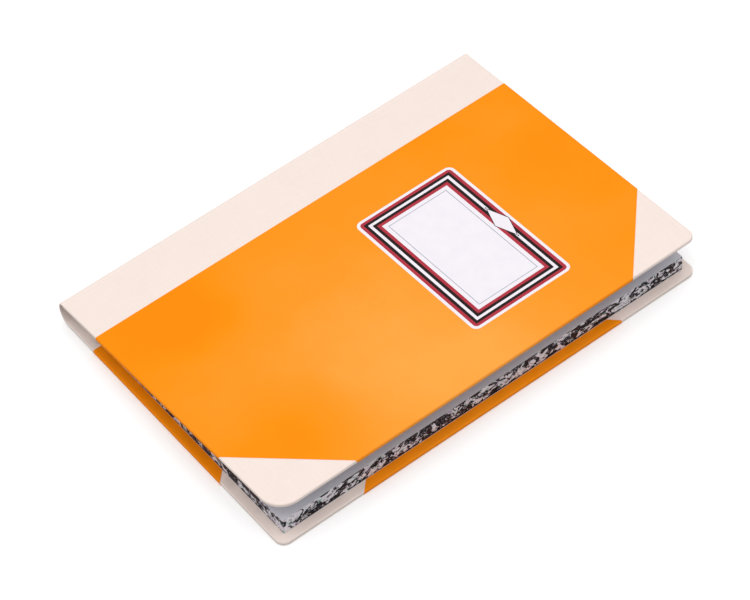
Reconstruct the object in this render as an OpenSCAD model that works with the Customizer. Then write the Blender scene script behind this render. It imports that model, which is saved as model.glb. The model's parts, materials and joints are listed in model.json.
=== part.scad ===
// A case-bound A5 notebook: sewn pages, a cloth spine and cloth corners, paper sides and a label.
// Millimetres. X runs from the spine to the fore edge, Y from tail to head and Z up.
// The book rests on its back cover, and its front cover stands a little open.
// Each cover is drawn flat first, outer face down, from its board's spine edge and tail edge.

/* [Boards] */
// Width of each grey board, from its spine edge to its fore edge
board_w = 149; // [110:0.5:190]
// Height of each grey board, from tail to head
board_h = 215.5; // [170:0.5:270]
// Thickness of each grey board
board_t = 1.55; // [1.2:0.05:2.4]
// Radius of a board's two fore corners, seen from above
board_corner_r = 4.2; // [2.5:0.1:8]
// Radius of a board's two spine corners, seen from above
board_heel_r = 1.2; // [0.8:0.1:2.4]
// Radius that softens the long edges of a board
board_edge_r = 0.45; // [0.2:0.05:0.55]

/* [Covering] */
// Thickness of the book cloth
cloth_t = 0.15; // [0.1:0.01:0.3]
// Thickness of the side paper
paper_t = 0.12; // [0.08:0.01:0.25]
// How far the coverings turn in over the inside of a board
turn_in = 14; // [8:0.5:20]
// How far the side paper laps over the cloth
paper_lap = 2.5; // [1:0.1:5]
// Cloth that shows on the front board, from its spine edge to the side paper
front_cloth_w = 24.2; // [12:0.2:40]
// Cloth that shows on the back board, from its spine edge to the side paper
back_cloth_w = 19.8; // [12:0.2:40]
// Front head corner: length of its cloth along the head
front_head_corner_x = 37.5; // [25:0.1:45]
// Front head corner: length of its cloth along the fore edge
front_head_corner_y = 34.6; // [25:0.1:45]
// Front tail corner: length of its cloth along the tail
front_tail_corner_x = 38.9; // [25:0.1:45]
// Front tail corner: length of its cloth along the fore edge
front_tail_corner_y = 39.5; // [25:0.1:45]
// Back corners: length of their cloth along each edge
back_corner = 41; // [25:0.1:45]

/* [Pages] */
// Thickness of the sewn pages, without the flyleaves
pages_t = 7.9; // [4:0.1:25]
// Thickness of a flyleaf
leaf_t = 0.12; // [0.08:0.01:0.3]
// Thickness of a pastedown
pastedown_t = 0.12; // [0.08:0.01:0.3]
// Board that shows past the pages at the fore edge
fore_square = 4.45; // [2:0.05:8]
// Board that shows past the pages at the head and at the tail
head_square = 4.5; // [2:0.05:8]
// Air between a closed cover and the flyleaf that it lies on
leaf_gap = 0.04; // [0.02:0.01:0.1]

/* [Spine] */
// How far the rounded spine stands out past the boards
spine_round = 4; // [3:0.1:6]
// Thickness of the card strip in the spine
strip_t = 0.4; // [0.2:0.05:0.8]
// Thickness of the gauze glued to the pages' spine
gauze_t = 0.15; // [0.1:0.01:0.4]
// Bare joint between a board's spine edge and the edge of the spine cloth
joint_w = 0.6; // [0.4:0.1:1.2]
// Air between the spine and a cover that is opened flat
swing_gap = 0.35; // [0.2:0.05:0.8]

/* [Opening] */
// Angle at which the front cover rests open
front_lift = 4.25; // [0:0.05:15]

/* [Label] */
// Length of the label, across the cover
label_w = 81; // [50:0.5:95]
// Height of the label, along the spine
label_h = 51.3; // [40:0.1:70]
// Distance from the front board's spine edge to the label
label_x = 47.2; // [42:0.1:52]
// Distance from the front board's tail edge to the label
label_y = 115.9; // [60:0.1:120]
// Thickness of the label
label_t = 0.1; // [0.06:0.01:0.2]
// Radius of the label's corners
label_corner_r = 3.2; // [2:0.1:6]
// White margin outside the printed frames
label_margin = 1.4; // [1:0.1:3]
// Width of a red printed band
red_w = 1.45; // [0.8:0.05:2.5]
// Width of a black printed band
black_w = 1.35; // [0.6:0.05:2]
// Width of the white line between the black bands
white_w = 1.35; // [0.8:0.05:2.5]
// White gap between the inner red band and the writing field
field_gap = 1.95; // [1:0.05:3]
// Width of the thin rule round the writing field
rule_w = 0.3; // [0.2:0.05:0.6]
// Length of the plain lozenge in the head side's frame
lozenge_w = 21.6; // [12:0.1:26]
// Distance from the label's middle to the lozenge's middle
lozenge_x = 0.3; // [-6:0.1:6]
// Width of the line round the lozenge
lozenge_line = 0.3; // [0.2:0.05:0.5]
// Thickness of the printed ink
ink_t = 0.03; // [0.02:0.01:0.06]

/* [Hidden] */
$fn = 48;
eps = 0.01;
far = 30;

// Colours of the materials
grey_board = "#8f8a80";
cream_cloth = "#f4e6dc";
orange_paper = "#fb9a25";
end_paper = "#c9c6cc";
page_paper = "#e4e0dc";
gauze_white = "#ebe6da";
label_white = "#f6f3f6";
print_red = "#b8384a";
print_black = "#1c1618";
rule_grey = "#b9bccb";

// The covering stack: cloth lies on the board, and paper laps over the cloth
skin_t = cloth_t + paper_t;
cover_w = board_w + skin_t;
rim_t = board_t + 2 * skin_t;
cover_t = rim_t + pastedown_t;

// Heights of the closed book, from the table up
leaves_z = cover_t + leaf_gap;
pages_z = leaves_z + leaf_t;
pages_top_z = pages_z + pages_t;
closed_t = pages_top_z + leaf_t + leaf_gap + cover_t;
mid_z = closed_t / 2;

// The spine is part of a cylinder that meets the cloth on both boards at their spine edges
board_x = spine_round;
cloth_half_t = mid_z - paper_t;
spine_r = (cloth_half_t * cloth_half_t + spine_round * spine_round) / (2 * spine_round);
strip_r = spine_r - cloth_t;
lining_r = strip_r - strip_t;
gauze_r = lining_r - cloth_t;
block_r = gauze_r - gauze_t;
spine_cut_x = board_x - joint_w;
strip_cut_x = spine_cut_x - 2 * strip_t;

// Print on the label
frame_w = 2 * red_w + 2 * black_w + white_w;
lozenge_half = [lozenge_w / 2, frame_w / 2 + lozenge_line];
lozenge_tip = lozenge_line * norm(lozenge_half) / lozenge_half[1];
ring_r = 0.8 * lozenge_tip;

// Outline of the pages
pages_fore_x = board_x + cover_w - fore_square;
pages_tail_y = head_square - skin_t;
pages_h = board_h + 2 * skin_t - 2 * head_square;
shoulder_x = spine_r - sqrt(block_r * block_r - (mid_z - leaves_z) * (mid_z - leaves_z));

// A cover turns about an axis half way up its rim that lays it clear of the spine when it is flat
spine_at_rim_x = spine_r - sqrt(spine_r * spine_r - (mid_z - rim_t) * (mid_z - rim_t));
hinge_x = (board_x - cloth_t + spine_at_rim_x - swing_gap) / 2;
hinge_z = rim_t / 2;

// Lengths of the corner cloths along X and along Y
front_head_legs = [front_head_corner_x, front_head_corner_y];
front_tail_legs = [front_tail_corner_x, front_tail_corner_y];
back_legs = [back_corner, back_corner];

// The origin is under the middle of the resting book
lift_fore_x = hinge_x + (board_x + cover_w - hinge_x) * cos(front_lift);
fore_x = max(board_x + cover_w, lift_fore_x);
middle_x = fore_x / 2;
middle_y = board_h / 2;

// Solid of a board grown on all sides, with soft edges and round corners

module rim_outline(length, grow, near, far_side) {
    r = board_edge_r + grow;
    t = board_t + 2 * grow;
    low = near ? r : 0;
    high = far_side ? r : 0;
    translate([low, 0]) square([length - low - high, t]);
    if (near) {
        translate([0, r]) square([2 * r, t - 2 * r]);
        for (z = [r, t - r]) translate([r, z]) circle(r);
    }
    if (far_side) {
        translate([length - 2 * r, r]) square([2 * r, t - 2 * r]);
        for (z = [r, t - r]) translate([length - r, z]) circle(r);
    }
}

module corner_disc(x, y, radius, grow) {
    translate([x, y, -grow])
        rotate_extrude()
            intersection() {
                translate([-radius - grow, 0]) rim_outline(2 * (radius + grow), grow, true, true);
                square([radius + grow, board_t + 2 * grow]);
            }
}

module board_body(grow) {
    heel = board_heel_r;
    toe = board_corner_r;
    middle = board_w / 2;
    translate([heel, -grow, -grow])
        rotate([90, 0, 90])
            linear_extrude(board_w - heel - toe)
                rim_outline(board_h + 2 * grow, grow, true, true);
    translate([-grow, board_h - heel, -grow])
        rotate([90, 0, 0])
            linear_extrude(board_h - 2 * heel)
                rim_outline(middle + grow, grow, true, false);
    translate([middle, board_h - toe, -grow])
        rotate([90, 0, 0])
            linear_extrude(board_h - 2 * toe)
                rim_outline(middle + grow, grow, false, true);
    for (y = [heel, board_h - heel]) corner_disc(heel, y, heel, grow);
    for (y = [toe, board_h - toe]) corner_disc(board_w - toe, y, toe, grow);
}

// Regions of a cover, seen from above, as prisms on its outer and its inner half

module outer_half() {
    translate([0, 0, -far]) linear_extrude(far + board_t / 2 + eps) children();
}

module inner_half() {
    translate([0, 0, board_t / 2]) linear_extrude(far) children();
}

// The part of a board's inside that no covering reaches
module open_window(inset) {
    edge = turn_in - skin_t + inset;
    translate([-far, edge]) square([far + board_w - edge, board_h - 2 * edge]);
}

// Turns a region drawn for the tail corner into one for the head corner
module at_corner(head) {
    if (head) translate([0, board_h]) mirror([0, 1]) children();
    else children();
}

// A corner's cloth on the outer face ends on a line from edge to edge
module corner_outer_region(leg_x, leg_y) {
    slope = leg_y / leg_x;
    edge = board_w + skin_t;
    polygon([
        [edge - leg_x - far, -skin_t - far * slope],
        [edge + far, -skin_t + leg_y + far * slope],
        [edge + far, -skin_t - far * slope]
    ]);
}

// Folded over the edges, the same line runs away from the corner, to just past the turn-ins
module corner_inner_region(leg_x, leg_y) {
    slope = leg_y / leg_x;
    edge = board_w + skin_t;
    deep = turn_in + 1;
    polygon([
        [edge - leg_x + far / slope, -skin_t - far],
        [edge - leg_x - deep / slope, -skin_t + deep],
        [edge - deep, -skin_t + deep],
        [edge - deep, -skin_t + leg_y + deep * slope],
        [edge + far, -skin_t + leg_y - far * slope],
        [edge + far, -skin_t - far]
    ]);
}

// Cloth along the spine side, on both halves of a cover
module quarter_region(width) {
    translate([-far, -far, -far]) cube([far + width, board_h + 2 * far, 2 * far]);
}

// Cloth round one corner, on both halves of a cover; legs are its lengths along X and along Y
module corner_region(legs, head) {
    outer_half() at_corner(head) corner_outer_region(legs[0], legs[1]);
    inner_half() at_corner(head) corner_inner_region(legs[0], legs[1]);
}

module cloth_region(width, head_legs, tail_legs, lap) {
    corner_lap = lap * sqrt(2) * [1, 1];
    quarter_region(width + lap);
    corner_region(head_legs + corner_lap, true);
    corner_region(tail_legs + corner_lap, false);
}

// Coverings

module window_cut() {
    translate([0, 0, board_t - eps]) linear_extrude(far) open_window(0);
}

module cloth_skin() {
    difference() {
        board_body(cloth_t);
        board_body(0);
        window_cut();
    }
}

module quarter_cloth(width) {
    intersection() {
        cloth_skin();
        quarter_region(width + paper_lap);
    }
}

module corner_cloth(legs, head) {
    intersection() {
        cloth_skin();
        corner_region(legs + paper_lap * sqrt(2) * [1, 1], head);
    }
}

// The side paper fills the rest of the cover and laps over the edges of the cloth
module side_paper(width, head_legs, tail_legs) {
    difference() {
        board_body(skin_t);
        board_body(0);
        window_cut();
        cloth_region(width, head_legs, tail_legs, 0);
        intersection() {
            board_body(cloth_t);
            cloth_region(width, head_legs, tail_legs, paper_lap);
        }
    }
}

// The pastedown lies on the turned-in coverings and, in the middle, on the board
module pastedown(width, head_legs, tail_legs) {
    translate([0, 0, board_t])
        difference() {
            translate([joint_w, pages_tail_y, 0])
                cube([board_w + skin_t - fore_square - joint_w, pages_h, skin_t + pastedown_t]);
            translate([0, 0, pastedown_t]) linear_extrude(far) open_window(pastedown_t);
            linear_extrude(cloth_t)
                difference() {
                    whole_inside();
                    open_window(0);
                }
            linear_extrude(skin_t)
                difference() {
                    whole_inside();
                    open_window(0);
                    translate([-far, -far]) square([far + width, board_h + 2 * far]);
                    at_corner(true) corner_inner_region(head_legs[0], head_legs[1]);
                    at_corner(false) corner_inner_region(tail_legs[0], tail_legs[1]);
                }
        }
}

module whole_inside() {
    translate([-far, -far]) square([board_w + 2 * far, board_h + 2 * far]);
}

// The label, drawn on the outer face of the front cover

module label_outline(inset, radius) {
    w = label_w - 2 * inset;
    h = label_h - 2 * inset;
    translate([inset, inset]) {
        if (radius > 0) {
            translate([radius, 0]) square([w - 2 * radius, h]);
            translate([0, radius]) square([w, h - 2 * radius]);
            for (x = [radius, w - radius], y = [radius, h - radius]) translate([x, y]) circle(radius);
        } else {
            square([w, h]);
        }
    }
}

module label_frame(inset, width, radius) {
    difference() {
        label_outline(inset, radius);
        label_outline(inset + width, 0);
    }
}

// The lozenge spans all the printed bands, with a round dot at each end
module lozenge(inset) {
    w = lozenge_half[0] - inset * norm(lozenge_half) / lozenge_half[1];
    h = lozenge_half[1] - inset * norm(lozenge_half) / lozenge_half[0];
    translate([label_w / 2 + lozenge_x, label_h - label_margin - frame_w / 2])
        polygon([[-w, 0], [0, h], [w, 0], [0, -h]]);
}

module lozenge_dots(radius) {
    for (side = [-1, 1])
        translate([label_w / 2 + lozenge_x + side * lozenge_w / 2, label_h - label_margin - frame_w / 2])
            circle(radius);
}

module band(inset, width, radius) {
    difference() {
        label_frame(inset, width, radius);
        lozenge(0);
        lozenge_dots(ring_r);
    }
}

module printed(level) {
    translate([label_x, label_y, -skin_t - label_t - level])
        linear_extrude(ink_t)
            children();
}

// Places of the pieces in the book

module on_back_cover() {
    translate([board_x - middle_x, -middle_y, skin_t]) children();
}

module on_front_cover() {
    translate([hinge_x - middle_x, -middle_y, closed_t - hinge_z])
        rotate([0, -front_lift, 0])
            translate([board_x - hinge_x, 0, hinge_z - skin_t])
                mirror([0, 0, 1])
                    children();
}

module in_book() {
    translate([-middle_x, -middle_y, 0]) children();
}

module spine_shell(outer_r, inner_r, cut_x, tail_y, head_y) {
    intersection() {
        difference() {
            translate([spine_r, head_y, mid_z]) rotate([90, 0, 0]) cylinder(r = outer_r, h = head_y - tail_y, $fn = 96);
            translate([spine_r, head_y + 1, mid_z])
                rotate([90, 0, 0])
                    cylinder(r = inner_r, h = head_y - tail_y + 2, $fn = 96);
        }
        translate([-1, tail_y - 1, -1]) cube([cut_x + 1, head_y - tail_y + 2, closed_t + 2]);
    }
}

// Pages between two heights, with the rounded spine
module leaves(low_z, high_z) {
    translate([0, pages_tail_y, 0]) {
        intersection() {
            translate([spine_r, pages_h, mid_z]) rotate([90, 0, 0]) cylinder(r = block_r, h = pages_h, $fn = 96);
            translate([0, 0, low_z]) cube([spine_r, pages_h, high_z - low_z]);
        }
        translate([spine_r - eps, 0, low_z]) cube([pages_fore_x - spine_r + eps, pages_h, high_z - low_z]);
    }
}

// Sub-parts

module text_block() {
    color(page_paper) in_book() leaves(pages_z, pages_top_z);
}

module back_flyleaf() {
    color(end_paper) in_book() leaves(leaves_z, pages_z);
}

module front_flyleaf() {
    color(end_paper) in_book() leaves(pages_top_z, pages_top_z + leaf_t);
}

module spine_gauze() {
    color(gauze_white) in_book() spine_shell(gauze_r, block_r, shoulder_x, pages_tail_y, pages_tail_y + pages_h);
}

module spine_strip() {
    color(grey_board) in_book() spine_shell(strip_r, lining_r, strip_cut_x, 0, board_h);
}

// The spine cloth folds over both ends of the card strip
module spine_cloth() {
    color(cream_cloth) in_book() {
        spine_shell(spine_r, strip_r, spine_cut_x, -cloth_t, board_h + cloth_t);
        for (y = [-cloth_t, board_h]) spine_shell(strip_r, gauze_r, strip_cut_x, y, y + cloth_t);
        for (y = [0, board_h - turn_in]) spine_shell(lining_r, gauze_r, strip_cut_x, y, y + turn_in);
    }
}

module front_board() {
    color(grey_board) on_front_cover() board_body(0);
}

module front_quarter_cloth() {
    color(cream_cloth) on_front_cover() quarter_cloth(front_cloth_w);
}

module front_head_corner_cloth() {
    color(cream_cloth) on_front_cover() corner_cloth(front_head_legs, true);
}

module front_tail_corner_cloth() {
    color(cream_cloth) on_front_cover() corner_cloth(front_tail_legs, false);
}

module front_side_paper() {
    color(orange_paper) on_front_cover() side_paper(front_cloth_w, front_head_legs, front_tail_legs);
}

module front_pastedown() {
    color(end_paper) on_front_cover() pastedown(front_cloth_w, front_head_legs, front_tail_legs);
}

module label() {
    color(label_white) on_front_cover()
        translate([label_x, label_y, -skin_t - label_t])
            linear_extrude(label_t)
                label_outline(0, label_corner_r);
}

module label_red_bands() {
    color(print_red) on_front_cover() printed(ink_t) {
        band(label_margin, red_w, label_corner_r - label_margin);
        band(label_margin + frame_w - red_w, red_w, 0);
    }
}

module label_black_bands() {
    outer = label_margin + red_w;
    color(print_black) on_front_cover() printed(ink_t) {
        band(outer, black_w, 0);
        band(outer + black_w + white_w, black_w, 0);
        difference() {
            lozenge(0);
            lozenge(lozenge_line);
            lozenge_dots(ring_r);
        }
        lozenge_dots(ring_r / 2);
    }
}

module label_field_rule() {
    color(rule_grey) on_front_cover() printed(ink_t)
        label_frame(label_margin + frame_w + field_gap, rule_w, 0);
}

module back_board() {
    color(grey_board) on_back_cover() board_body(0);
}

module back_quarter_cloth() {
    color(cream_cloth) on_back_cover() quarter_cloth(back_cloth_w);
}

module back_head_corner_cloth() {
    color(cream_cloth) on_back_cover() corner_cloth(back_legs, true);
}

module back_tail_corner_cloth() {
    color(cream_cloth) on_back_cover() corner_cloth(back_legs, false);
}

module back_side_paper() {
    color(orange_paper) on_back_cover() side_paper(back_cloth_w, back_legs, back_legs);
}

module back_pastedown() {
    color(end_paper) on_back_cover() pastedown(back_cloth_w, back_legs, back_legs);
}

text_block();
front_flyleaf();
back_flyleaf();
spine_gauze();
spine_strip();
spine_cloth();
front_board();
front_quarter_cloth();
front_head_corner_cloth();
front_tail_corner_cloth();
front_side_paper();
front_pastedown();
label();
label_red_bands();
label_black_bands();
label_field_rule();
back_board();
back_quarter_cloth();
back_head_corner_cloth();
back_tail_corner_cloth();
back_side_paper();
back_pastedown();
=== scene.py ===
"""Dresses a hard-cover A5 notebook with a cloth spine, cloth corners and orange paper sides.

The book lies on its back cover. X runs from the spine to the fore edge, Y from tail to head, Z up. The book's
own frame, in millimetres, starts at the spine's outermost line, the boards' tail edge and the table.
"""
import json
import logging
import math
from collections.abc import Callable
from dataclasses import dataclass, field
from enum import Enum

import bmesh
import bpy
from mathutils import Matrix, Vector

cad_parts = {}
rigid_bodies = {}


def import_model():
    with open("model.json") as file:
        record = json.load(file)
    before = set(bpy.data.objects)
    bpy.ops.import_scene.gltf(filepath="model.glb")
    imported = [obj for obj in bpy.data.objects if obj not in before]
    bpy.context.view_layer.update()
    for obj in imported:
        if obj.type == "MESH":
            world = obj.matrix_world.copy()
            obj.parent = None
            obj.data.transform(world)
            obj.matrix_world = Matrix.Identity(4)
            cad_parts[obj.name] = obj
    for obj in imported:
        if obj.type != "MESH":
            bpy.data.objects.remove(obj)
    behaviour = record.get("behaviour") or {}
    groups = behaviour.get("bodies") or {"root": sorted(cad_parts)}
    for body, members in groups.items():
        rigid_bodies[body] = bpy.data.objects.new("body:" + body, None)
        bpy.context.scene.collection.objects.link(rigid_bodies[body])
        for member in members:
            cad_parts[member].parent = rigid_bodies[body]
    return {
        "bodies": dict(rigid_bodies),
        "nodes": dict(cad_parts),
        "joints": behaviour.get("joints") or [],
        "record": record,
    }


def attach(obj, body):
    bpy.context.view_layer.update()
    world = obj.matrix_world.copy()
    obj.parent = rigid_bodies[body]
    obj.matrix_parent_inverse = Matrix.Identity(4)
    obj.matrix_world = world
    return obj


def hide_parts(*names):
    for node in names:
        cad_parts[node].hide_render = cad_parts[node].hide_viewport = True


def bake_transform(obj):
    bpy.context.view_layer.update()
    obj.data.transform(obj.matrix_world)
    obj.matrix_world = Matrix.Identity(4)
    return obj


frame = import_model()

LOG = logging.getLogger("notebook")
MM = 0.001
SAME_PLACE = 0.001 * MM  # vertices nearer than this are one
NOISE_RANGE = (0.3, 0.7)  # where most of a noise lies
WHITE = "#ffffff"
Point = tuple[float, float]
Point3 = tuple[float, float, float]
Colour = tuple[float, float, float, float]
Piece = bpy.types.Object
Material = bpy.types.Material
Socket = bpy.types.NodeSocket


# ---- frame and modelling helpers ----


@dataclass(frozen=True)
class BookSizes:
    """The notebook's main sizes in millimetres, as its solids have them."""

    middle_x: float = 76.635
    middle_y: float = 107.75
    board_x: float = 4.0
    board_w: float = 149.0
    board_h: float = 215.5
    board_t: float = 1.55
    board_edge_r: float = 0.45
    cloth_t: float = 0.15
    paper_t: float = 0.12
    leaf_t: float = 0.12
    leaf_gap: float = 0.04
    pages_t: float = 7.9
    turn_in: float = 14.0
    fore_square: float = 4.45
    head_square: float = 4.5
    hinge_x: float = 2.487
    lift_deg: float = 4.25
    front_cloth_w: float = 24.2
    back_cloth_w: float = 19.8

    @property
    def skin_t(self) -> float:
        """Thickness of paper over cloth."""
        return self.cloth_t + self.paper_t

    @property
    def rim_t(self) -> float:
        """Thickness of a covered board."""
        return self.board_t + 2 * self.skin_t

    @property
    def cover_x(self) -> float:
        """Place of a covered board's fore edge."""
        return self.board_x + self.board_w + self.skin_t

    @property
    def hinge_z(self) -> float:
        """Height of the back joint's axis, and depth of the front one's below the closed top."""
        return self.rim_t / 2

    @property
    def closed_t(self) -> float:
        """Height of the closed book."""
        return 2 * (self.rim_t + 2 * self.leaf_t + self.leaf_gap) + self.pages_t

    @property
    def pages_low_z(self) -> float:
        """Height of the back flyleaf's underside."""
        return self.rim_t + self.leaf_t + self.leaf_gap

    @property
    def pages_high_z(self) -> float:
        """Height of the front flyleaf's upper side."""
        return self.closed_t - self.pages_low_z

    @property
    def fore_x(self) -> float:
        """Place of the pages' fore edge."""
        return self.cover_x - self.fore_square

    @property
    def tail_y(self) -> float:
        """Place of the pages' tail edge."""
        return self.head_square - self.skin_t

    @property
    def head_y(self) -> float:
        """Place of the pages' head edge."""
        return self.board_h - self.tail_y

    @property
    def outward(self) -> Vector:
        """Direction across the resting front cover, from its hinge to its fore edge."""
        angle = math.radians(self.lift_deg)
        return Vector((math.cos(angle), 0, math.sin(angle)))

    def lifted(self, point: Point) -> Point:
        """Carries a point of the closed front cover to its resting place, a little open.

        Args:
            point: X and Z on the closed cover.

        Returns:
            X and Z on the resting cover.
        """
        angle = math.radians(self.lift_deg)
        x, z = point[0] - self.hinge_x, point[1] - (self.closed_t - self.hinge_z)
        return (
            self.hinge_x + x * math.cos(angle) - z * math.sin(angle),
            self.closed_t - self.hinge_z + x * math.sin(angle) + z * math.cos(angle),
        )

    def row(self, x: float, y: float, z: float) -> Vector:
        """Turns millimetres in the book's frame into metres in the part's, from under the book's middle."""
        return Vector(((x - self.middle_x) * MM, (y - self.middle_y) * MM, z * MM))


def deselect_all() -> None:
    """Leaves nothing selected, in object mode."""
    if bpy.context.object and bpy.context.object.mode != "OBJECT":
        bpy.ops.object.mode_set(mode="OBJECT")
    bpy.ops.object.select_all(action="DESELECT")


def select_only(piece: Piece) -> None:
    """Leaves one piece selected and active, in object mode."""
    deselect_all()
    piece.select_set(True)
    bpy.context.view_layer.objects.active = piece


def choose_vertices(piece: Piece, wanted: Callable[[bmesh.types.BMVert], bool]) -> None:
    """Selects in edit mode the wanted vertices only.

    Args:
        piece: The mesh that is being edited.
        wanted: Says of a vertex whether it is wanted.
    """
    bpy.ops.mesh.select_all(action="DESELECT")
    bpy.ops.mesh.select_mode(type="VERT")
    edited = bmesh.from_edit_mesh(piece.data)
    edited.verts.index_update()
    for vert in edited.verts:
        vert.select_set(wanted(vert))
    edited.select_flush_mode()
    bmesh.update_edit_mesh(piece.data)


def cut_through(place: Vector, normal: Vector) -> None:
    """Cuts the mesh that is being edited along the plane through a place."""
    bpy.ops.mesh.select_all(action="SELECT")
    bpy.ops.mesh.bisect(plane_co=place, plane_no=normal)


def curve(near: Point, corner: Point, far: Point, spans: int) -> list[Point]:
    """Rounds a corner.

    Args:
        near: Where the curve starts.
        corner: Where its first and last directions cross.
        far: Where it ends.
        spans: How many straight spans it has.

    Returns:
        The points between its two ends.
    """
    points = []
    for i in range(1, spans):
        t = i / spans
        points.append(tuple((1 - t) ** 2 * a + 2 * t * (1 - t) * c + t * t * b
                            for a, c, b in zip(near, corner, far)))
    return points


def sheet_along(name: str, sizes: BookSizes, profile: list[Point], low_y: float, high_y: float) -> Piece:
    """Models a sheet by drawing one edge of a first strip out along a profile.

    Args:
        name: The piece's name.
        sizes: The book's sizes.
        profile: X and Z of the sheet's section, from its first edge to its last.
        low_y: Where the sheet starts along the spine.
        high_y: Where it ends.

    Returns:
        The open sheet, with no thickness.
    """
    steps = [Vector(((b[0] - a[0]) * MM, 0, (b[1] - a[1]) * MM)) for a, b in zip(profile, profile[1:])]
    deselect_all()
    bpy.ops.mesh.primitive_plane_add(size=1, location=(0, 0, 0))
    piece = bpy.context.object
    piece.name = piece.data.name = name
    bpy.ops.object.mode_set(mode="EDIT")
    bpy.ops.transform.resize(value=(0, (high_y - low_y) * MM, 1))
    bpy.ops.transform.translate(value=sizes.row(profile[0][0], (low_y + high_y) / 2, profile[0][1]))
    choose_vertices(piece, lambda vert: vert.index % 2 == 1)
    bpy.ops.transform.translate(value=steps[0])
    bpy.ops.mesh.select_mode(type="EDGE")
    for step in steps[1:]:
        bpy.ops.mesh.extrude_edges_move(TRANSFORM_OT_translate={"value": step})
    bpy.ops.mesh.select_all(action="SELECT")
    bpy.ops.mesh.remove_doubles(threshold=SAME_PLACE)
    bpy.ops.mesh.normals_make_consistent(inside=False)
    bpy.ops.object.mode_set(mode="OBJECT")
    return piece


def face_towards(piece: Piece, place: Vector, direction: Vector) -> None:
    """Turns an open sheet over if its face nearest to a place looks away from a direction.

    Args:
        piece: The sheet.
        place: A place on or near it.
        direction: Where that part of the sheet should face.
    """
    nearest = min(piece.data.polygons, key=lambda f: (f.center - place).length)
    if nearest.normal.dot(direction) < 0:
        piece.data.flip_normals()


def apply_modifier(piece: Piece, kind: str, **settings: object) -> None:
    """Adds a modifier with its settings and applies it.

    Args:
        piece: The mesh.
        kind: The modifier's type.
        settings: Its properties.
    """
    select_only(piece)
    modifier = piece.modifiers.new(kind.lower(), kind)
    for key, value in settings.items():
        setattr(modifier, key, value)
    bpy.ops.object.modifier_apply(modifier=modifier.name)


def close_shell(piece: Piece, depths: Callable[[Vector], Point]) -> None:
    """Makes an open sheet a closed band: it sinks to one depth and is joined to a copy at another.

    Args:
        piece: The sheet, whose normals look outward.
        depths: Depths of the band's outer and inner face below a place on the sheet, in millimetres.
    """
    select_only(piece)
    bpy.ops.object.duplicate()
    inside = bpy.context.object
    for face, shell in enumerate((piece, inside)):
        depth = [depths(vert.co)[face] for vert in shell.data.vertices]
        group = shell.vertex_groups.new(name="depth")
        for i, sunk in enumerate(depth):
            group.add([i], sunk / max(depth), "REPLACE")
        apply_modifier(shell, "DISPLACE", vertex_group="depth", mid_level=0.0, strength=-max(depth) * MM)
        shell.vertex_groups.clear()
    select_only(piece)
    inside.select_set(True)
    bpy.ops.object.join()
    bpy.ops.object.mode_set(mode="EDIT")
    bpy.ops.mesh.select_mode(type="EDGE")
    bpy.ops.mesh.select_all(action="DESELECT")
    bpy.ops.mesh.select_non_manifold()
    bpy.ops.mesh.bridge_edge_loops()
    bpy.ops.mesh.select_all(action="SELECT")
    bpy.ops.mesh.normals_make_consistent(inside=False)
    bpy.ops.object.mode_set(mode="OBJECT")


def smooth_by_angle(piece: Piece, degrees: float) -> None:
    """Shades a piece smooth, apart from edges sharper than an angle."""
    select_only(piece)
    bpy.ops.object.shade_smooth_by_angle(angle=math.radians(degrees))


def dress(piece: Piece, material: Material) -> None:
    """Gives a piece one material in place of what it has."""
    piece.data.materials.clear()
    piece.data.materials.append(material)


# ---- finishes ----


def linear(colour: str) -> Colour:
    """Turns an sRGB hex colour to linear light.

    Args:
        colour: Such as #f5e6de.

    Returns:
        Red, green, blue and an alpha of 1.
    """
    values = [int(colour[i : i + 2], 16) / 255 for i in (1, 3, 5)]
    return (*(v / 12.92 if v <= 0.04045 else ((v + 0.055) / 1.055) ** 2.4 for v in values), 1.0)


def scale_of(size_mm: float) -> float:
    """Scale of a pattern whose features have a real size."""
    return 1 / (size_mm * MM)


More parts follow.
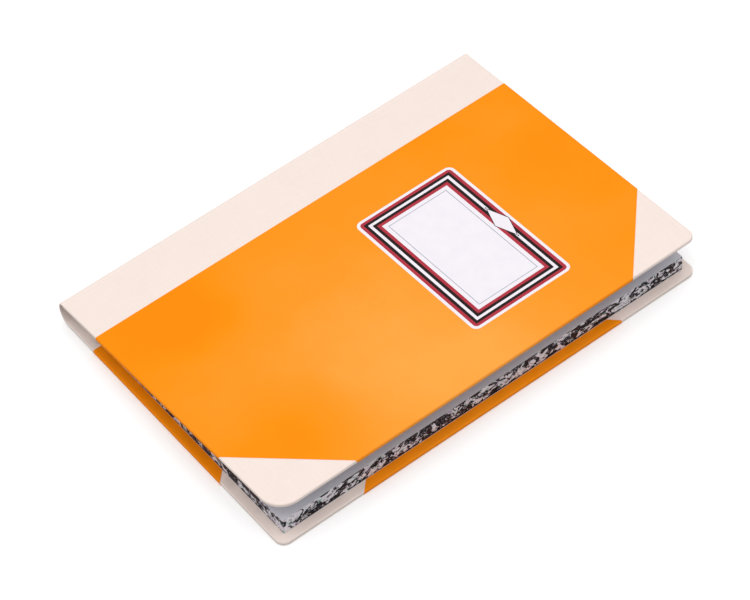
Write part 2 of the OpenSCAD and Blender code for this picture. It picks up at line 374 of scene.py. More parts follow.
@dataclass
class Nodes:
    """The nodes of a material or a world, with short ways to add them."""

    owner: bpy.types.ID

    def __post_init__(self) -> None:
        """Empties the tree."""
        self.owner.use_nodes = True
        self.owner.node_tree.nodes.clear()

    def add(self, kind: str, inputs: dict | None = None, **settings: object) -> bpy.types.Node:
        """Adds a node with its settings, and fills or links its inputs.

        Args:
            kind: The node's type, without ShaderNode.
            inputs: Values, or sockets to link from, by the input's name or number.
            settings: The node's own properties.

        Returns:
            The new node.
        """
        node = self.owner.node_tree.nodes.new("ShaderNode" + kind)
        for key, value in settings.items():
            setattr(node, key, value)
        for key, value in (inputs or {}).items():
            if isinstance(value, Socket):
                self.owner.node_tree.links.new(value, node.inputs[key])
            else:
                node.inputs[key].default_value = value
        return node

    def calc(self, operation: str, *values: Socket | float) -> Socket:
        """Adds one operation on numbers or sockets."""
        return self.add("Math", dict(enumerate(values)), operation=operation).outputs[0]

    def carry(self, value: Socket, source: Point, target: Point = (0.0, 1.0)) -> Socket:
        """Carries one range of values onto another, and holds at its ends what lies outside."""
        ends = {"From Min": source[0], "From Max": source[1], "To Min": target[0], "To Max": target[1]}
        return self.add("MapRange", {"Value": value, **ends}).outputs["Result"]

    def spread(self, place: Socket, scale: Point3, shift: Point3 = (0.0, 0.0, 0.0)) -> Socket:
        """Scales coordinates along each axis, then moves them."""
        return self.add("Mapping", {"Vector": place, "Scale": scale, "Location": shift}).outputs["Vector"]

    def noise(self, place: Socket, scale: float, detail: float, roughness: float = 0.5,
              distortion: float = 0.0) -> Socket:
        """Adds a noise with so many features to a unit."""
        layers = {"Detail": detail, "Roughness": roughness, "Distortion": distortion}
        return self.add("TexNoise", {"Vector": place, "Scale": scale, **layers}).outputs["Fac"]

    def patch(self, place: Socket, middle: Point3, reach: Point3) -> Socket:
        """Adds a soft patch, 1 in its middle and 0 at its reach.

        Args:
            place: The coordinates.
            middle: Its middle, in millimetres from the frame's origin.
            reach: How far it reaches along each axis, in millimetres.

        Returns:
            The patch's strength.
        """
        shift = tuple(-at / size for at, size in zip(middle, reach))
        moved = self.spread(place, tuple(scale_of(size) for size in reach), shift)
        return self.add("TexGradient", {"Vector": moved}, gradient_type="SPHERICAL").outputs["Fac"]

    def ramp(self, value: Socket, *stops: tuple[float, str]) -> Socket:
        """Turns a value into a colour.

        Args:
            value: The value.
            stops: Place and sRGB hex colour of each stop, in order.

        Returns:
            The colour.
        """
        node = self.add("ValToRGB", {"Fac": value})
        elements = node.color_ramp.elements
        while len(elements) < len(stops):
            elements.new(0.5)
        for element, (place, colour) in zip(elements, stops):
            element.position = place
            element.color = linear(colour)
        return node.outputs["Color"]

    def mix(self, share: Socket, colour: Socket | Colour, other: Socket | Colour) -> Socket:
        """Goes from one colour to another as a share goes from 0 to 1."""
        return self.add("Mix", {0: share, 6: colour, 7: other}, data_type="RGBA").outputs[2]

    def shade(self, base: Socket, height: Socket, roughness: Socket | float, relief_mm: float, relief: float,
              gloss: float = 0.5, sheen: float = 0.0) -> Material:
        """Ends a material with its shader.

        Args:
            base: The base colour.
            height: The relief's height, from 0 to 1.
            roughness: The roughness.
            relief_mm: How deep the relief is.
            relief: How strongly it turns the light.
            gloss: The specular level.
            sheen: The sheen's weight.

        Returns:
            The material.
        """
        bump = self.add("Bump", {"Height": height, "Distance": relief_mm * MM, "Strength": relief})
        shader = self.add("BsdfPrincipled", {
            "Base Color": base, "Normal": bump.outputs["Normal"], "Roughness": roughness,
            "Specular IOR Level": gloss, "Sheen Weight": sheen,
        })
        self.add("OutputMaterial", {"Surface": shader.outputs["BSDF"]})
        return self.owner


class Coords(Enum):
    """What a pattern follows: the piece's own place, or its unrolled surface."""

    OBJECT = "Object"
    UNROLLED = "UV"


def start(name: str, coords: Coords = Coords.OBJECT) -> tuple[Nodes, Socket]:
    """Starts a material.

    Args:
        name: The material's name.
        coords: What its patterns follow.

    Returns:
        Its nodes, and the coordinates.
    """
    nodes = Nodes(bpy.data.materials.new(name))
    return nodes, nodes.add("TexCoord").outputs[coords.value]


@dataclass(frozen=True)
class StarchedBookCloth:
    """Plain-woven cotton, starched and rolled. It gives a matt cream with fine threads and faint slubs."""

    coords: Coords
    colour: str = "#f5e5dd"
    dark_thread: str = "#ecdcd2"
    thread_mm: float = 0.5  # the real thread is about 0.35 mm, drawn coarser so that it shows
    slub_mm: float = 9.0
    slub_width_mm: float = 0.6
    cloud_mm: float = 25.0
    weave_share: float = 0.35
    cloud_share: float = 0.4
    slub_height: float = 0.8
    roughness: float = 0.82
    sheen: float = 0.08

    def build(self) -> Material:
        """Makes the material.

        Returns:
            The material.
        """
        nodes, place = start("starched_cotton_book_cloth_" + self.coords.name.lower(), self.coords)
        threads = nodes.spread(place, (scale_of(self.thread_mm),) * 3)
        apart = nodes.add("SeparateXYZ", {0: threads})
        across = []
        for axis in ("X", "Y"):
            turn = nodes.calc("MULTIPLY", apart.outputs[axis], math.pi)
            across.append(nodes.calc("ABSOLUTE", nodes.calc("SINE", turn)))
        over = nodes.add("TexChecker", {"Vector": threads, "Scale": 1.0}).outputs["Fac"]
        weave = nodes.add("Mix", {0: over, 2: across[0], 3: across[1]}, data_type="FLOAT").outputs[0]
        along, wide = scale_of(self.slub_mm), scale_of(self.slub_width_mm)
        slubs = [nodes.noise(nodes.spread(place, scale), 1.0, detail=2.0)
                 for scale in ((along, wide, scale_of(1.0)), (wide, along, scale_of(1.0)))]
        slub = nodes.calc("MULTIPLY", *slubs)
        tone = nodes.calc("MULTIPLY_ADD", weave, self.weave_share, slub)
        clouds = nodes.noise(place, scale_of(self.cloud_mm), detail=3.0)
        tone = nodes.calc("MULTIPLY_ADD", clouds, self.cloud_share, tone)
        base = nodes.ramp(tone, (0.25, self.dark_thread), (0.75, self.colour))
        height = nodes.calc("MULTIPLY_ADD", slub, self.slub_height, weave)
        return nodes.shade(base, height, self.roughness, relief_mm=0.03, relief=0.6, sheen=self.sheen)


@dataclass(frozen=True)
class DyedCoverPaper:
    """Dyed, calendered cover paper. A warm orange with a fine grain, and a painted sheen toward the fore
    edge.
    """

    deep: str = "#fe8c04"
    fresh: str = "#fe910c"
    colour: str = "#ff9826"
    # the palest stop, reached only where the sheen is painted
    painted_sheen: str = "#ffa645"
    cloud_mm: float = 34.0
    cloud_share: float = 0.4
    darkening: float = -0.08
    fibre_mm: float = 1.1
    fibre_share: float = 0.16
    # a painted sheen: paler orange in a broad patch toward the fore edge, standing for the lamp's soft
    # reflection
    painted_sheen_at: Point3 = (62.0, -12.0, 22.5)
    painted_sheen_mm: Point3 = (165.0, 115.0, 26.0)
    painted_sheen_share: float = 0.57
    # two darker spots near the tail
    darker_spots_at: tuple[Point3, ...] = ((-38.0, -75.0, 15.5), (50.0, -77.0, 21.5))
    darker_spots_mm: Point3 = (36.0, 34.0, 18.0)
    darker_spots_share: float = -0.34
    grain_mm: float = 0.35
    cloud_height: float = 2.0
    roughness: Point = (0.45, 0.57)
    gloss: float = 0.06

    def build(self) -> Material:
        """Makes the material.

        Returns:
            The material.
        """
        nodes, place = start("calendered_orange_cover_paper")
        clouds = nodes.noise(place, scale_of(self.cloud_mm), detail=4.0, roughness=0.45)
        fibres = nodes.noise(place, scale_of(self.fibre_mm), detail=3.0, roughness=0.6, distortion=0.8)
        tone = nodes.calc("MULTIPLY_ADD", clouds, self.cloud_share, self.darkening)
        tone = nodes.calc("MULTIPLY_ADD", fibres, self.fibre_share, tone)
        # the painted sheen's patch lightens the tone
        painted_sheen = nodes.patch(place, self.painted_sheen_at, self.painted_sheen_mm)
        tone = nodes.calc("MULTIPLY_ADD", painted_sheen, self.painted_sheen_share, tone)
        # the darker spots lower the tone
        for spot in self.darker_spots_at:
            tone = nodes.calc("MULTIPLY_ADD", nodes.patch(place, spot, self.darker_spots_mm), self.darker_spots_share, tone)
        stops = (0.08, self.deep), (0.22, self.fresh), (0.46, self.colour), (0.76, self.painted_sheen)
        grain = nodes.noise(place, scale_of(self.grain_mm), detail=4.0, roughness=0.6)
        waves = nodes.calc("MULTIPLY_ADD", clouds, self.cloud_height, grain)
        uneven = nodes.carry(grain, NOISE_RANGE, self.roughness)
        base = nodes.ramp(tone, *stops)
        return nodes.shade(base, waves, uneven, relief_mm=0.02, relief=0.5, gloss=self.gloss)


@dataclass(frozen=True)
class WovePaper:
    """Uncoated wove paper. It gives a flat, matt white with faint clouds and a fine felt grain."""

    name: str
    colour: str
    shade: str
    fibre_mm: float = 0.8
    fibre_share: float = 0.7
    cloud_mm: float = 6.0
    roughness: float = 0.85

    def build(self) -> Material:
        """Makes the material.

        Returns:
            The material.
        """
        nodes, place = start(self.name)
        clouds = nodes.noise(place, scale_of(self.cloud_mm), detail=3.0)
        fibres = nodes.noise(place, scale_of(self.fibre_mm), detail=4.0, roughness=0.65, distortion=1.2)
        tone = nodes.calc("MULTIPLY_ADD", fibres, self.fibre_share, clouds)
        base = nodes.ramp(tone, (0.55, self.shade), (1.0, self.colour))
        return nodes.shade(base, fibres, self.roughness, relief_mm=0.015, relief=0.5)


@dataclass(frozen=True)
class PrintedInk:
    """Offset ink on label paper. It gives a dense colour that mottles a little with the paper's grain."""

    name: str
    colour: str
    worn: str
    mottle_mm: float = 0.4
    roughness: float = 0.5
    gloss: float = 0.2

    def build(self) -> Material:
        """Makes the material.

        Returns:
            The material.
        """
        nodes, place = start(self.name)
        mottle = nodes.noise(place, scale_of(self.mottle_mm), detail=4.0, roughness=0.7)
        base = nodes.ramp(mottle, (0.32, self.worn), (0.5, self.colour))
        return nodes.shade(base, mottle, self.roughness, relief_mm=0.01, relief=0.3, gloss=self.gloss)


@dataclass(frozen=True)
class Swirl:
    """One size of the marks that floating colour leaves on the page edges."""

    size_mm: float
    detail: float
    roughness: float = 0.55
    distortion: float = 0.0
    shift: float = 0.0
    squash: float = 1.35

    def build(self, nodes: Nodes, place: Socket) -> Socket:
        """Adds the noise, flattened along Z and moved aside so that no two are alike.

        Args:
            nodes: The material's nodes.
            place: The coordinates.

        Returns:
            The noise.
        """
        flow = scale_of(self.size_mm)
        shift = (self.shift, 2 * self.shift, 3 * self.shift)
        moved = nodes.spread(place, (flow, flow, self.squash * flow), shift)
        return nodes.noise(moved, 1.0, self.detail, self.roughness, self.distortion)


@dataclass(frozen=True)
class MarbledEdge:
    """Page edges dipped on floating black colour. They give ragged dark blots, pale chips and leaf lines,
    with painted shade along the lowest leaves and under the cover at the tail.
    """

    black: str = "#0d090c"
    navy: str = "#141822"
    brown: str = "#2e1d19"
    grey: str = "#857c84"
    white: str = "#f3ecf2"
    mauve: str = "#b7a8c0"
    teal: str = "#a9c2c0"
    blots: Swirl = Swirl(5.2, 3.0, 0.6, 1.1)
    chips: Swirl = Swirl(2.0, 2.0, 0.5, 0.9, 17.0)
    dark_tint: Swirl = Swirl(6.0, 1.0, shift=13.0)
    light_tint: Swirl = Swirl(3.0, 2.0, 0.6, 0.5, 29.0)
    flakes: Swirl = Swirl(1.5, 1.0, 0.5, 0.8, 37.0)
    specks: Swirl = Swirl(1.6, 1.0, 0.5, 0.8, 43.0)
    chip_share: float = 0.3
    ink_rim: Point = (0.661, 0.674)  # ends so near to each other make a sharp rim
    flake_rim: Point = (0.6, 0.625)
    speck_rim: Point = (0.66, 0.675)
    bottom_shade_z: Point = (2.5, 3.6)  # painted shade along the last leaves, next to the back cover
    bottom_shade_share: Point = (0.16, 0.0)
    tail_shadow_z: Point = (4.0, 8.0)  # and a painted shadow of the front cover on the tail's upper leaves, a touch lighter below
    tail_shadow_share: Point = (-0.03, 0.09)
    tail_y: float = -103.4
    pale_at: Point3 = (72.0, -103.5, 5.0)  # the tail's fore corner is lighter
    pale_mm: Point3 = (17.0, 17.0, 40.0)
    pale_share: float = 0.14
    leaf_mm: float = 0.3  # a leaf is 0.1 mm, and lines three leaves apart are the finest that show
    leaf_flow: float = 2.0  # a leaf's line runs on for half a metre
    leaf_tones: Point = (0.85, 1.1)
    roughness: float = 0.65
    gloss: float = 0.15

    def build(self) -> Material:
        """Makes the material.

        Returns:
            The material.
        """
        nodes, place = start("marbled_page_edges")
        apart = nodes.add("SeparateXYZ", {0: place})
        height, along = apart.outputs["Z"], apart.outputs["Y"]
        blots, chips = self.blots.build(nodes, place), self.chips.build(nodes, place)
        level = nodes.calc("MULTIPLY_ADD", chips, self.chip_share, blots)
        # painted shade: the lowest leaves are darker
        painted_bottom_shade = nodes.carry(height, (self.bottom_shade_z[0] * MM, self.bottom_shade_z[1] * MM), self.bottom_shade_share)
        level = nodes.calc("SUBTRACT", level, painted_bottom_shade)
        # painted shadow: the tail's upper leaves are darker under the front cover
        upper = nodes.carry(height, (self.tail_shadow_z[0] * MM, self.tail_shadow_z[1] * MM), self.tail_shadow_share)
        at_tail = nodes.calc("LESS_THAN", along, self.tail_y * MM)
        level = nodes.calc("SUBTRACT", level, nodes.calc("MULTIPLY", upper, at_tail))
        pale = nodes.patch(place, self.pale_at, self.pale_mm)
        level = nodes.calc("MULTIPLY_ADD", pale, self.pale_share, level)
        stops = (0.4, self.navy), (0.5, self.black), (0.6, self.brown)
        dark = nodes.ramp(self.dark_tint.build(nodes, place), *stops)
        stops = (0.34, self.teal), (0.45, self.white), (0.55, self.white), (0.66, self.mauve)
        light = nodes.ramp(self.light_tint.build(nodes, place), *stops)
        flake = nodes.carry(self.flakes.build(nodes, place), self.flake_rim)
        speck = nodes.carry(self.specks.build(nodes, place), self.speck_rim)
        inked, bare = nodes.mix(flake, dark, linear(self.grey)), nodes.mix(speck, light, dark)
        colour = nodes.mix(nodes.carry(level, self.ink_rim), inked, bare)
        flat = nodes.spread(place, (self.leaf_flow, self.leaf_flow, scale_of(self.leaf_mm)))
        leaves = nodes.noise(flat, 1.0, detail=1.0)
        lines = nodes.carry(leaves, NOISE_RANGE, self.leaf_tones)
        base = nodes.add("VectorMath", {0: colour, "Scale": lines}, operation="SCALE").outputs[0]
        return nodes.shade(base, leaves, self.roughness, relief_mm=0.06, relief=0.7, gloss=self.gloss)


@dataclass(frozen=True)
class GreyBoard:
    """Pressed grey board of waste paper. It gives a dull grey-brown with dark flecks and a rough cut."""

    colour: str = "#948d82"
    fleck: str = "#6d665d"
    fleck_mm: float = 0.7
    roughness: float = 0.9

    def build(self) -> Material:
        """Makes the material.

        Returns:
            The material.
        """
        nodes, place = start("pressed_grey_board")
        flecks = nodes.noise(place, scale_of(self.fleck_mm), detail=5.0, roughness=0.7)
        base = nodes.ramp(flecks, (0.35, self.fleck), (0.5, self.colour))
        return nodes.shade(base, flecks, self.roughness, relief_mm=0.05, relief=0.6)


@dataclass(frozen=True)
class OpenGauze:
    """Stiffened open gauze over glue. It gives pale threads a millimetre apart on a yellowish ground."""

    thread: str = "#ece6d6"
    ground: str = "#cdbf9d"
    pitch_mm: float = 1.0
    wave_scale: float = 0.314  # a wave texture of this scale has one band to a unit
    slack: float = 0.4
    roughness: float = 0.9

    def build(self) -> Material:
        """Makes the material.

        Returns:
            The material.
        """
        nodes, place = start("spine_lining_gauze")
        spaced = nodes.spread(place, (scale_of(self.pitch_mm),) * 3)
        wave = {"Vector": spaced, "Scale": self.wave_scale, "Distortion": self.slack}
        rows = [nodes.add("TexWave", wave, bands_direction=axis).outputs["Fac"] for axis in ("Y", "Z")]
        net = nodes.calc("MAXIMUM", *rows)
        base = nodes.ramp(net, (0.55, self.ground), (0.8, self.thread))
        return nodes.shade(base, net, self.roughness, relief_mm=0.08, relief=0.6)


def made_by(finish: object) -> Material:
    """A field whose material is made with its owner."""
    return field(default_factory=finish.build)


@dataclass(frozen=True)
class Finishes:
    """All the notebook's materials, each made once."""

    cloth: Material = made_by(StarchedBookCloth(Coords.OBJECT))
    spine_cloth: Material = made_by(StarchedBookCloth(Coords.UNROLLED))
    side_paper: Material = made_by(DyedCoverPaper())
    # a grey-blue white: partly the paper's own colour, partly the shade under the front cover painted in
    endpaper: Material = made_by(WovePaper("white_wove_endpaper", "#dbdbe2", "#d6d6de"))
    label_paper: Material = made_by(
        WovePaper("smooth_label_paper", "#f2edf3", "#ede8ef", fibre_mm=0.5, roughness=0.6))
    red_ink: Material = made_by(PrintedInk("crimson_label_ink", "#b02c3c", "#b83d4b"))
    black_ink: Material = made_by(PrintedInk("black_label_ink", "#1a0707", "#270f10"))
    grey_ink: Material = made_by(PrintedInk("grey_label_ink", "#9da3b4", "#aeb3c2"))
    page_edges: Material = made_by(MarbledEdge())
    board: Material = made_by(GreyBoard())
    gauze: Material = made_by(OpenGauze())


# ---- the book's parts ----


class Side(Enum):
    """Which cover a piece belongs to."""

    FRONT = "front"
    BACK = "back"


@dataclass
class ClothSpine:
    """The cloth that runs from one board over the spine to the other, in two halves that meet at its middle.

    Each half is cloth, card strip and turned-in cloth in one band, and holds the board that it lies on.
    """

    sizes: BookSizes
    arc_x: float = 7.57
    arc_z: float = 7.4
    arc_r: float = 7.57
    middle_z: float = 7.0
    front_stop_deg: float = 37.0
    back_stop_deg: float = -56.0
    front_spans: tuple[int, int] = (16, 7)  # of the arc and of the shoulder
    back_spans: tuple[int, int] = (24, 12)
    unroll_deg: Point = (40.0, 58.0)
    front_shoulder_x: float = 2.02
    back_shoulder_x: float = 4.2
    back_flat_x: float = 5.6
    groove_x: float = 2.75
    groove_w: float = 1.75
    groove_mm: float = 0.12
    groove_rows: int = 8
    front_joint: Point = (2.2, 3.85)
    back_joint: Point = (2.4, 3.9)
    past_joint: float = 0.5
    strip_band: float = 0.7
    front_joint_band: float = 0.3
    end_share: float = 0.46  # radius of a thin end, as a share of its thickness
    under_paper: float = 2.2
    end_rows: tuple[float, ...] = (0.03, 0.1, 0.2, 0.34, 0.6)
    smooth_deg: float = 35.0

    @property
    def board_band(self) -> float:
        """Thickness of the board between two layers of cloth."""
        return self.sizes.board_t + 2 * self.sizes.cloth_t

    def arc_points(self, stop: float, spans: int) -> list[Point]:
        """Points of the rounded spine, from its middle to an angle.

        Args:
            stop: The last point's angle in degrees above the level of the arc's centre.
            spans: How many straight spans there are.

        Returns:
            X and Z of each point.
        """
        first = math.degrees(math.asin((self.middle_z - self.arc_z) / self.arc_r))
        turns = [math.radians(first + (stop - first) * i / spans) for i in range(spans + 1)]
        return [(self.arc_x - self.arc_r * math.cos(t), self.arc_z + self.arc_r * math.sin(t)) for t in turns]

    def front_profile(self) -> list[Point]:
        """The outer line from the spine's middle over the shoulder and the joint onto the front board.

        Returns:
            X and Z of its points.
        """
        s = self.sizes
        top = s.closed_t - s.paper_t
        points = self.arc_points(self.front_stop_deg, self.front_spans[0])
        shoulder, groove = s.lifted((self.front_shoulder_x, top)), s.lifted((self.groove_x, top))
        points += curve(points[-1], shoulder, groove, self.front_spans[1])
        last = self.groove_rows - 1
        for i in range(self.groove_rows):
            dip = self.groove_mm * math.sin(math.pi * i / last) ** 2
            points.append(s.lifted((self.groove_x + self.groove_w * i / last, top - dip)))
        points.append(s.lifted((s.board_x + s.front_cloth_w + self.under_paper, top)))
        return points

    def back_profile(self) -> list[Point]:
        """The outer line from the spine's middle round the lower shoulder onto the back board.

        Returns:
            X and Z of its points.
        """
        s = self.sizes
        flat = (self.back_flat_x, s.paper_t)
        points = self.arc_points(self.back_stop_deg, self.back_spans[0])
        points += curve(points[-1], (self.back_shoulder_x, s.paper_t), flat, self.back_spans[1])
        return [*points, flat, (s.board_x + s.back_cloth_w + self.under_paper, s.paper_t)]

    def unroll(self, piece: Piece, side: Side) -> None:
        """Lays the weave along the surface: U runs round the spine and V along it.

        Args:
            piece: The finished half.
            side: Which half it is.
        """
        while piece.data.uv_layers:
            piece.data.uv_layers.remove(piece.data.uv_layers[0])
        layer = piece.data.uv_layers.new(name="unrolled")
        limit = math.radians(self.unroll_deg[0 if side is Side.FRONT else 1])
        for loop in piece.data.loops:
            co = piece.data.vertices[loop.vertex_index].co
            x, z = co.x / MM + self.sizes.middle_x, co.z / MM
            turn = math.atan2(z - self.arc_z, self.arc_x - x)
            round_way = self.arc_r * (limit - min(abs(turn), limit)) if x < self.arc_x else 0.0
            layer.data[loop.index].uv = ((x - round_way) * MM, co.y)

    def section(self, side: Side, co: Vector, normal: Vector) -> Point:
        """A half's thickness and the radius of its rounded ends, at the strip, the joint or the board.

        Past its joint, the back half's inside is level with the board's.

        Args:
            side: Which half.
            co: A place on its sheet.
            normal: The sheet's normal there.

        Returns:
            The thickness and the radius, in millimetres.
        """
        s = self.sizes
        x, edge_r = co.x / MM + s.middle_x, s.board_edge_r + s.cloth_t
        if side is Side.FRONT:
            low, high = self.front_joint
            if x >= high:
                return self.board_band, edge_r
            thickness = self.strip_band if x < low else self.front_joint_band
            return thickness, self.end_share * thickness
        low, high = self.back_joint
        share = min(1.0, max(0.0, (x - low) / (high + self.past_joint - low)))
        radius = (1 - share) * self.end_share * self.strip_band + share * edge_r
        level = (s.paper_t + self.board_band - co.z / MM) / -normal.z if x > low else 0.0
        return max(self.strip_band, level), radius

    def build_half(self, side: Side) -> Piece:
        """Models one half as a band along its profile, with its thickness and rounded ends.

        Args:
            side: Which cover's half.

        Returns:
            The finished half.
        """
        s = self.sizes
        profile = self.front_profile() if side is Side.FRONT else self.back_profile()
        name = side.value + "_spine_and_quarter_cloth"
        piece = sheet_along(name, s, profile, -s.cloth_t, s.board_h + s.cloth_t)
        face_towards(piece, s.row(0, s.middle_y, self.middle_z), Vector((-1, 0, 0)))
        bpy.ops.object.mode_set(mode="EDIT")
        for step in self.end_rows:
            for y in (step - s.cloth_t, s.board_h + s.cloth_t - step):
                cut_through(s.row(0, y, 0), Vector((0, 1, 0)))
        bpy.ops.object.mode_set(mode="OBJECT")
        normals = {tuple(vert.co): vert.normal.copy() for vert in piece.data.vertices}

        def depths(co: Vector) -> Point:
            """Depths of the outer and the inner face, which close in a rounded edge at the half's ends."""
            thickness, radius = self.section(side, co, normals[tuple(co)])
            short = max(0.0, radius - (s.board_h / 2 + s.cloth_t - abs(co.y) / MM))
            drop = radius - math.sqrt(radius * radius - short * short)
            return drop, thickness - drop

        close_shell(piece, depths)
        smooth_by_angle(piece, self.smooth_deg)
        self.unroll(piece, side)
        return piece

    def build(self, finishes: Finishes) -> list[Piece]:
        """Makes both halves, dresses them and hides the solids that they replace.

        Args:
            finishes: The materials.

        Returns:
            The two halves.
        """
        s = self.sizes
        front, back = self.build_half(Side.FRONT), self.build_half(Side.BACK)
        for piece in (front, back):
            dress(piece, finishes.spine_cloth)
        s.row(0.2, 0, 12)
        s.row(3.9, 0, 12)
        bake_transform(front)
        s.row(1.0, 0, 1)
        s.row(3.8, 0, 1)
        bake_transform(back)
        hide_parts("front_quarter_cloth", "spine_cloth")
        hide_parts("back_quarter_cloth", "spine_strip")
        return [front, back]


@dataclass
class Endpapers:
    """Two folded sheets. One half of each is pasted on a board and the other is the free flyleaf."""

    sizes: BookSizes
    front_fold: tuple[Point, ...] = (  # X, and height above the flyleaf
        (4.4, 0.0), (3.7, 0.01), (3.2, 0.04), (2.86, 0.1), (2.74, 0.17), (3.0, 0.24), (3.4, 0.29))
    back_fold: tuple[Point, ...] = (  # X, and depth below it
        (4.4, 0.0), (3.6, 0.01), (3.1, 0.04), (2.84, 0.1))
    pasted_x: float = 4.3
    relief_mm: float = 0.11
    step_mm: float = 0.7
    near_mm: float = 0.1
    smooth_deg: float = 30.0

    def profile(self, side: Side) -> list[Point]:
        """A sheet's section from the flyleaf to the board, on the side where both lie.

        Args:
            side: Which end of the book.

        Returns:
            X and Z of its points.
        """
        s = self.sizes
        pasted = (self.pasted_x, *self.relief_x(), s.fore_x)
        if side is Side.FRONT:
            leaf = s.pages_high_z - s.leaf_t
            fold = [(x, leaf + rise) for x, rise in self.front_fold]
            return [(s.fore_x, leaf), *fold, *(s.lifted((x, s.closed_t - s.rim_t)) for x in pasted)]
        leaf = s.pages_low_z + s.leaf_t
        fold = [(x, leaf - drop) for x, drop in self.back_fold]
        back = [(x, s.rim_t + drop) for x, drop in self.back_fold[:0:-1]]
        return [(s.fore_x, leaf), *fold, *back, *((x, s.rim_t) for x in pasted)]

    def relief_x(self) -> Point:
        """Where the pasted half steps up onto the fore edge's turn-in."""
        edge = self.sizes.cover_x - self.sizes.turn_in
        return (edge - self.step_mm, edge)

    def build_sheet(self, side: Side) -> Piece:
        """Models one folded sheet, sinks the pasted half between the turn-ins and thickens it.

        Args:
            side: Which end of the book.

        Returns:
            The finished sheet.
        """
        s = self.sizes
        front = side is Side.FRONT
        profile = self.profile(side)
        piece = sheet_along(side.value + "_endpaper", s, profile, s.tail_y, s.head_y)
        bpy.ops.object.mode_set(mode="EDIT")
        low, high = s.turn_in - s.skin_t, s.board_h + s.skin_t - s.turn_in
        for y in (low, low + self.step_mm, high - self.step_mm, high):
            cut_through(s.row(0, y, 0), Vector((0, 1, 0)))
        near = self.near_mm
        low_z, high_z = (s.closed_t - s.rim_t - near, 2 * s.closed_t) if front else (0, s.rim_t + near)
        first = s.row(s.board_x, low + self.step_mm - near, low_z)
        last = s.row(self.relief_x()[0] + near, high - self.step_mm + near, high_z)
        choose_vertices(piece, lambda vert: all(a < c < b for a, c, b in zip(first, vert.co, last)))
        down = Vector((-s.outward.z, 0, s.outward.x)) if front else Vector((0, 0, -1))
        bpy.ops.transform.translate(value=down * self.relief_mm * MM)
        bpy.ops.object.mode_set(mode="OBJECT")
        on_leaf = s.row((self.front_fold[0][0] + s.fore_x) / 2, s.middle_y, profile[0][1])
        face_towards(piece, on_leaf, Vector((0, 0, 1 if front else -1)))
        apply_modifier(piece, "SOLIDIFY", thickness=s.leaf_t * MM, offset=1)
        smooth_by_angle(piece, self.smooth_deg)
        return piece

    def build(self, finishes: Finishes) -> list[Piece]:
        """Makes both sheets, dresses them and hides the solids that they replace.

        Args:
            finishes: The materials.

        Returns:
            The two sheets.
        """
        s = self.sizes
        front, back = self.build_sheet(Side.FRONT), self.build_sheet(Side.BACK)
        for piece in (front, back):
            dress(piece, finishes.endpaper)
        high = s.pages_high_z
        s.row(0, 0, high + 0.005)
        s.row(0, 0, high + 0.15)
        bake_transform(front)
        low = s.pages_low_z
        s.row(0, 0, low - 0.002)
        s.row(0, 0, low - 0.038)
        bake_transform(back)
        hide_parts("front_pastedown", "front_flyleaf")
        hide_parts("back_pastedown", "back_flyleaf")
        return [front, back]


@dataclass
class BluntedCorner:
    """The front cover's tail corner after knocks, its cloth and board pressed back to a blunter curve."""

    frame: dict
    sizes: BookSizes
    sharp_r: float = 4.47  # as at the other corners
    blunt_r: float = 10.5
    cut_rows: int = 6
    smooth_deg: float = 35.0

    @property
    def centre(self) -> Vector:
        """Middle of the blunt curve, on the level of the cover's hinge."""
        s = self.sizes
        out = (s.cover_x - s.hinge_x - self.blunt_r) * MM
        return s.row(s.hinge_x, self.blunt_r - s.skin_t, s.closed_t - s.hinge_z) + s.outward * out

    def sharp_reach(self, way: Vector) -> float:
        """How far the sharp corner reaches from the blunt curve's middle.

        Args:
            way: A direction of length 1 between the fore edge and the tail edge.

        Returns:
            The distance in millimetres.
        """
        straight = self.blunt_r - self.sharp_r
        if min(way) * self.blunt_r <= straight * max(way):
            return self.blunt_r / max(way)
        along = way.dot(Vector((straight, straight)))
        return along + math.sqrt(along * along - 2 * straight * straight + self.sharp_r**2)

    def press(self, node: str) -> Piece:
        """Copies a solid, cuts its corner into narrow strips and presses them back.

        Args:
            node: The solid's node.

        Returns:
            The pressed copy.
        """
        piece = bpy.data.objects.new(node + "_blunted", self.frame["nodes"][node].data.copy())
        bpy.context.scene.collection.objects.link(piece)
        select_only(piece)
        bpy.ops.object.mode_set(mode="EDIT")
        bpy.ops.mesh.select_all(action="SELECT")
        bpy.ops.mesh.remove_doubles(threshold=SAME_PLACE)
        centre, outward, tailward = self.centre, self.sizes.outward, Vector((0, -1, 0))
        for i in range(self.cut_rows):
            step = (self.blunt_r - self.sharp_r) * i / (self.cut_rows - 1) * MM
            for way in (outward, tailward):
                cut_through(centre + way * step, way)
        bpy.ops.object.mode_set(mode="OBJECT")
        for vert in piece.data.vertices:
            out, down = (vert.co - centre).dot(outward), (vert.co - centre).dot(tailward)
            if out > 0 and down > 0:
                pressed = self.blunt_r / self.sharp_reach(Vector((out, down)).normalized()) - 1
                vert.co += (outward * out + tailward * down) * pressed
        smooth_by_angle(piece, self.smooth_deg)
        apply_modifier(piece, "WEIGHTED_NORMAL", keep_sharp=True, weight=100)
        return piece

    def build(self, finishes: Finishes) -> list[Piece]:
        """Makes the pressed cloth and board and puts them on the front cover.

        Args:
            finishes: The materials.

        Returns:
            The cloth and the board.
        """
        pieces = []
        for node, material, slot in (("front_tail_corner_cloth", finishes.cloth, "book_cloth"),
                                     ("front_board", finishes.board, "grey_board")):
            piece = self.press(node)
            dress(piece, material)
            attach(piece, "front_cover")
            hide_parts(node)
            pieces.append(piece)
        return pieces


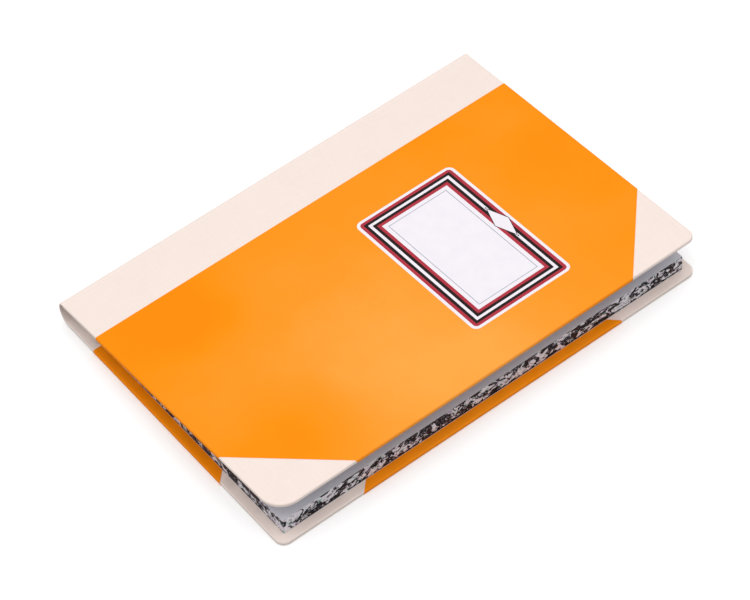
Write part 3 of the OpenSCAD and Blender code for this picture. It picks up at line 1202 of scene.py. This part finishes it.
@dataclass
class CarriedSolids:
    """The solids whose shape is right as it is, each with its finish."""

    frame: dict

    def build(self, finishes: Finishes) -> list[Piece]:
        """Dresses the solids.

        Args:
            finishes: The materials.

        Returns:
            The dressed solids.
        """
        worn = {
            "text_block": finishes.page_edges,
            "spine_gauze": finishes.gauze,
            "label": finishes.label_paper,
            "label_red_bands": finishes.red_ink,
            "label_black_bands": finishes.black_ink,
            "label_field_rule": finishes.grey_ink,
            "front_side_paper": finishes.side_paper,
            "back_side_paper": finishes.side_paper,
            "front_head_corner_cloth": finishes.cloth,
            "back_head_corner_cloth": finishes.cloth,
            "back_tail_corner_cloth": finishes.cloth,
            "back_board": finishes.board,
        }
        for name, material in worn.items():
            dress(self.frame["nodes"][name], material)
        return [self.frame["nodes"][name] for name in worn]


# ---- studio ----


@dataclass
class Studio:
    """A white sweep, a pale sky, a large soft lamp overhead and the photograph's camera."""

    camera_place: Point3 = (0.74725, -0.50337, 1.08861)
    camera_turn: Point3 = (39.4391, 3.3843, 52.0334)
    lens_mm: float = 163.377
    sensor_mm: float = 36.0
    clip_m: Point = (0.05, 20.0)
    sky_low: float = 0.22
    sky_high: float = 1.27
    key_place: Point3 = (0.2, -0.3, 2.1)
    key_size: float = 1.6
    key_power: float = 8.3
    floor_size: float = 12.0
    floor_shade: str = "#b3b3b3"
    floor_seen: str = "#fcfcfc"
    floor_glow: float = 0.16

    def floor(self) -> None:
        """Makes the pale floor, which shows white to the camera and keeps the book's shadow."""
        deselect_all()
        bpy.ops.mesh.primitive_plane_add(size=self.floor_size, location=(0, 0, 0))
        floor = bpy.context.object
        floor.name = "floor"
        nodes = Nodes(bpy.data.materials.new("pale_floor"))
        rays = nodes.add("LightPath").outputs
        seen = nodes.calc("MAXIMUM", rays["Is Camera Ray"], rays["Is Glossy Ray"])
        seen = nodes.calc("MAXIMUM", seen, rays["Is Transmission Ray"])
        pale = nodes.add("BsdfDiffuse", {"Color": linear(self.floor_shade)})
        white = nodes.add("BsdfDiffuse", {"Color": linear(self.floor_seen)})
        glow = nodes.add("Emission", {"Color": linear(WHITE), "Strength": self.floor_glow})
        lit = nodes.add("AddShader", {0: white.outputs[0], 1: glow.outputs[0]})
        both = nodes.add("MixShader", {0: seen, 1: pale.outputs[0], 2: lit.outputs[0]})
        nodes.add("OutputMaterial", {"Surface": both.outputs[0]})
        dress(floor, nodes.owner)

    def world(self) -> None:
        """Makes a pale sky, brighter overhead, that shows white to the camera."""
        nodes = Nodes(bpy.data.worlds.new("studio"))
        bpy.context.scene.world = nodes.owner
        upward = nodes.add("SeparateXYZ", {0: nodes.add("TexCoord").outputs["Generated"]}).outputs["Z"]
        strength = nodes.carry(upward, (0.0, 1.0), (self.sky_low, self.sky_high))
        light = nodes.add("Background", {"Color": linear(WHITE), "Strength": strength})
        white = nodes.add("Background", {"Color": linear(WHITE), "Strength": 1.0})
        seen = nodes.add("LightPath").outputs["Is Camera Ray"]
        both = nodes.add("MixShader", {0: seen, 1: light.outputs[0], 2: white.outputs[0]})
        nodes.add("OutputWorld", {"Surface": both.outputs[0]})

    def key(self) -> None:
        """Hangs the square soft lamp, which looks at the book."""
        data = bpy.data.lights.new("key", "AREA")
        data.shape, data.size, data.energy = "SQUARE", self.key_size, self.key_power
        lamp = bpy.data.objects.new("key", data)
        bpy.context.scene.collection.objects.link(lamp)
        lamp.location = self.key_place
        lamp.rotation_mode = "QUATERNION"
        lamp.rotation_quaternion = (-Vector(self.key_place)).to_track_quat("-Z", "Y")

    def camera(self) -> None:
        """Places the camera where the photograph's edges and corners put it."""
        data = bpy.data.cameras.new("camera")
        data.sensor_width, data.lens = self.sensor_mm, self.lens_mm
        data.clip_start, data.clip_end = self.clip_m
        camera = bpy.data.objects.new("camera", data)
        bpy.context.scene.collection.objects.link(camera)
        camera.location = self.camera_place
        camera.rotation_euler = tuple(math.radians(v) for v in self.camera_turn)
        bpy.context.scene.camera = camera

    def build(self) -> None:
        """Makes the camera, the lights and the floor."""
        self.camera()
        self.world()
        self.key()
        self.floor()
        bpy.context.scene.view_settings.view_transform = "Standard"


def main() -> None:
    """Builds the notebook and its studio, and logs each piece's faces."""
    logging.basicConfig(level=logging.INFO, format="%(name)s: %(message)s")
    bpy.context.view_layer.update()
    sizes = BookSizes()
    Studio().build()
    finishes = Finishes()
    for part in (CarriedSolids(frame), BluntedCorner(frame, sizes), ClothSpine(sizes), Endpapers(sizes)):
        for piece in part.build(finishes):
            LOG.info("%s: %s, %d faces", type(part).__name__, piece.name, len(piece.data.polygons))


if __name__ == "__main__":
    main()
